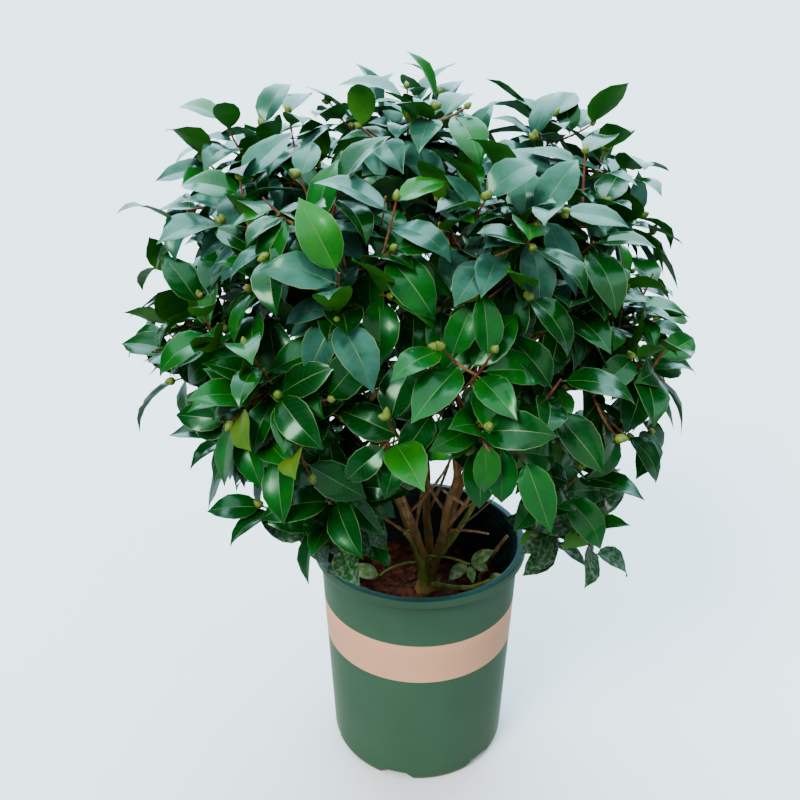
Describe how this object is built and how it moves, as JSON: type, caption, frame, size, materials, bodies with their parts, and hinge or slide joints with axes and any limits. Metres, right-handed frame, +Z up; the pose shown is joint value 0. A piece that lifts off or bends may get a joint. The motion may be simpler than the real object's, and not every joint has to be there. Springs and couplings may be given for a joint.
{
  "type": "potted camellia shrub",
  "caption": "Round evergreen shrub with glossy leaves and plump flower buds, on several slender stems, growing in a round tapered plastic nursery pot with a rolled rim.",
  "frame": {"origin": "middle of the pot's flat underside, on the pot's axis", "axes": "+Z up along the pot's axis and the shrub's height, -Y towards the viewer in front, +X to the viewer's right"},
  "size_m": [0.7008, 0.6676, 0.954],
  "materials": {
    "pot": "satin moulded plastic",
    "soil": "loose composted bark",
    "bark": "smooth young bark, mossy at the foot",
    "foliage": "glossy leathery leaves"
  },
  "bodies": {
    "root": {"pot": "pot", "soil": "soil", "trunk": "bark", "stem_1": "bark", "stem_2": "bark", "stem_3": "bark", "stem_4": "bark", "stem_5": "bark", "bough_top": "bark", "bough_middle_1": "bark", "bough_middle_2": "bark", "bough_middle_3": "bark", "bough_middle_4": "bark", "bough_middle_5": "bark", "bough_middle_6": "bark", "bough_middle_7": "bark", "bough_lower_1": "bark", "bough_lower_2": "bark", "bough_lower_3": "bark", "bough_lower_4": "bark", "bough_lower_5": "bark", "foliage_upper_1": "foliage", "foliage_upper_2": "foliage", "foliage_upper_3": "foliage", "foliage_upper_4": "foliage", "foliage_upper_5": "foliage", "foliage_top": "foliage", "foliage_middle_1": "foliage", "foliage_middle_2": "foliage", "foliage_middle_3": "foliage", "foliage_middle_4": "foliage", "foliage_middle_5": "foliage", "foliage_middle_6": "foliage", "foliage_middle_7": "foliage", "foliage_lower_1": "foliage", "foliage_lower_2": "foliage", "foliage_lower_3": "foliage", "foliage_lower_4": "foliage", "foliage_lower_5": "foliage"}
  },
  "joints": []
}
